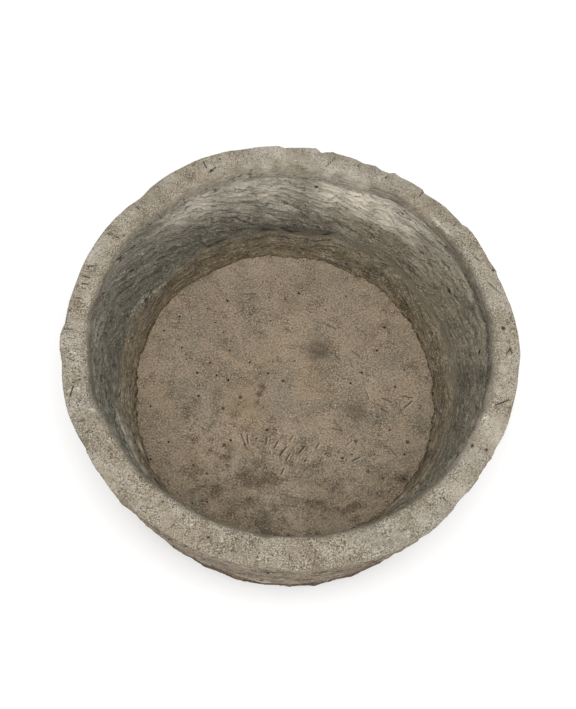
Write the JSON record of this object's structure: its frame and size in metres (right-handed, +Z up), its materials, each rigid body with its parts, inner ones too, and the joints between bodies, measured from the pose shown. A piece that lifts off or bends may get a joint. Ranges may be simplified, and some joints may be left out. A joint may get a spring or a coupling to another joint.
{
  "type": "stone trough planter",
  "caption": "Round trough planter of hewn stone: a thick tapered ring wall, bedded in mortar on a floor slab, open at the top.",
  "frame": {"origin": "middle of the underside, on the ground", "axes": "+Z up out of the trough's mouth; -Y is the side that faces the viewer in the picture, +X to its right"},
  "size_m": [0.5568, 0.5622, 0.224],
  "materials": {
    "wall_stone": "pecked and chiselled, weathered",
    "mortar": "rough lime mortar, stained",
    "floor_stone": "rubbed smooth, pitted, soil-stained"
  },
  "bodies": {
    "root": {"wall_ring": "wall_stone", "mortar_bed": "mortar", "base_slab": "floor_stone"}
  },
  "joints": []
}
